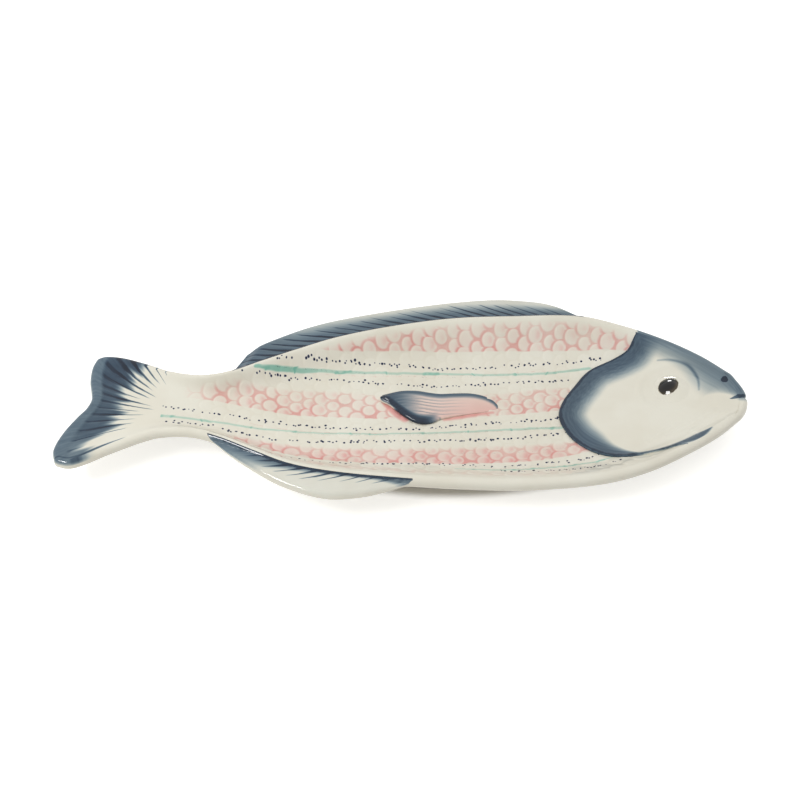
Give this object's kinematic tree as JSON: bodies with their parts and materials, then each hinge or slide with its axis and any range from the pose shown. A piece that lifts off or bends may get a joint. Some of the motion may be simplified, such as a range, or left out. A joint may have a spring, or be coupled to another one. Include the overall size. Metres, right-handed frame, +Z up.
{
  "type": "fish shaped serving platter",
  "caption": "Long shallow glazed platter shaped as a fish, with a rolled rim, flat fins and tail, a raised gill cover and eye, and an oval foot ring.",
  "frame": {"origin": "middle of the platter's length and width, on the table that the foot ring stands on", "axes": "+X from the tail to the snout, +Y towards the dorsal fin, +Z up out of the dish"},
  "size_m": [0.4196, 0.1645, 0.0291],
  "materials": {
    "cream_glaze": "gloss cream glaze over hand-painted scales, stripes and dots",
    "blue_glaze": "gloss glaze over blue-grey brushed fin rays on cream",
    "eye_glaze": "gloss cream glaze with a dark brown painted pupil",
    "bare_clay": "unglazed fired clay, wiped smooth on its standing face"
  },
  "bodies": {
    "root": {"dish_body": "cream_glaze", "tail_fin": "blue_glaze", "dorsal_fin": "blue_glaze", "ventral_fin": "blue_glaze", "head_plate": "cream_glaze", "eye": "eye_glaze", "pectoral_fin": "blue_glaze", "foot_ring": "bare_clay"}
  },
  "joints": []
}
